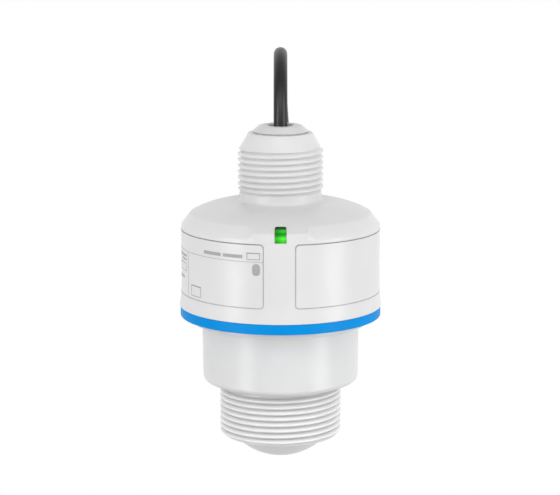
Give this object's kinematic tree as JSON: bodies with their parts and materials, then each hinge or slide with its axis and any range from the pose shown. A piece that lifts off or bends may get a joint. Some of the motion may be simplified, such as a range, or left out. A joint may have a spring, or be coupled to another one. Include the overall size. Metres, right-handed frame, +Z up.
{
  "type": "radar level sensor",
  "caption": "Free-space radar level sensor with a threaded lens antenna below, a round plastic housing, a coloured ring, a status light and a fixed cable out of its threaded neck.",
  "frame": {"origin": "centre of the collar's flat sealing face, on the axis of the process thread", "axes": "+Z up along the sensor's axis towards the cable, -Z along the process thread and the radar beam, -Y towards the side with the status light"},
  "size_m": [0.0797, 0.1857, 0.1587],
  "materials": {
    "body_plastic": "satin moulded light grey",
    "housing_plastic": "satin moulded light grey",
    "accent_blue": "satin blue",
    "guide_green": "clear green",
    "gland_plastic": "satin moulded light grey",
    "washer_plastic": "natural",
    "seal_rubber": "soft black",
    "oring_rubber": "soft black",
    "cable_sheath": "satin black",
    "fitting_steel": "bright",
    "core_screen": "black sleeve",
    "core_minus": "blue insulation",
    "core_plus": "brown insulation",
    "carrier_plastic": "matt black",
    "board_green": "solder resist",
    "terminal_plastic": "matt green",
    "capacitor_can": "drawn can",
    "inductor_ferrite": "sintered dark grey",
    "chip_black": "moulded black",
    "shield_sheet": "tinned sheet",
    "antenna_ceramic": "glazed ceramic",
    "led_lens": "clear resin",
    "horn_metal": "die cast",
    "socket_plastic": "natural",
    "ribbon_film": "amber film",
    "tie_plastic": "matt black strap",
    "ferrule_tin": "tinned"
  },
  "bodies": {
    "root": {"sensor_body": "body_plastic", "housing_oring": "oring_rubber", "accent_ring": "accent_blue", "upper_housing": "housing_plastic", "light_guide": "guide_green", "gland_insert": "gland_plastic", "thrust_washer": "washer_plastic", "cable_seal": "seal_rubber", "cable_inner_end": "cable_sheath", "cable_retainer": "fitting_steel", "inner_core_screen": "core_screen", "inner_core_minus": "core_minus", "inner_core_plus": "core_plus", "electronics_carrier": "carrier_plastic", "carrier_screws": "fitting_steel", "main_board": "board_green", "terminal_block": "terminal_plastic", "terminal_screws": "fitting_steel", "buffer_capacitors": "capacitor_can", "power_inductor": "inductor_ferrite", "processor_chip": "chip_black", "radio_module": "shield_sheet", "chip_antenna": "antenna_ceramic", "status_led": "led_lens", "antenna_horn": "horn_metal", "radar_board": "board_green", "radar_chip": "chip_black", "shield_can": "shield_sheet", "board_sockets": "socket_plastic", "ribbon_lead": "ribbon_film", "cable": "cable_sheath", "cable_coil": "cable_sheath", "coil_ties": "tie_plastic", "cable_tail": "cable_sheath", "tail_core_screen": "core_screen", "tail_core_minus": "core_minus", "tail_core_plus": "core_plus", "tail_ferrules": "ferrule_tin"}
  },
  "joints": []
}
